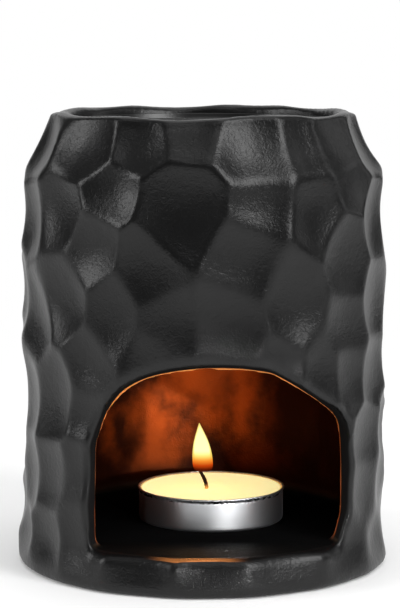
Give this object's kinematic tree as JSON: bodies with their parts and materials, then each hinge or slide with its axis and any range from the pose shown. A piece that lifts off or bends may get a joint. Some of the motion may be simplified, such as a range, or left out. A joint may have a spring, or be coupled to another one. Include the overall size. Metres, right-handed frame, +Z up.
{
  "type": "essential oil burner",
  "caption": "Cylindrical hammered ceramic oil burner: an arched window with a tealight on the floor inside, and a round dish in the mouth for water and oil.",
  "frame": {"origin": "centre of the foot, on the table", "axes": "+Z up through the middle of the dish; the window faces -Y; +X is to the right as seen from the window"},
  "size_m": [0.0952, 0.0946, 0.1155],
  "materials": {
    "black_glaze": "satin black glaze, fine wrinkle",
    "copper_lustre": "fired copper lustre, glossy",
    "pressed_aluminium": "bright rolled foil",
    "candle_wax": "smooth, slightly translucent",
    "tinned_steel": "stamped",
    "burnt_cotton": "charred braid",
    "candle_flame": "glowing"
  },
  "bodies": {
    "burner": {"burner_shell": "black_glaze", "oil_dish": "black_glaze"},
    "tealight": {"tealight_cup": "pressed_aluminium", "tealight_wax": "candle_wax", "wick_sustainer": "tinned_steel", "wick": "burnt_cotton"}
  },
  "joints": [
    {"name": "tealight_slide", "type": "slide", "parent": "burner", "child": "tealight", "axis": [0, -1, 0], "range_m": [0, 0.075]}
  ]
}
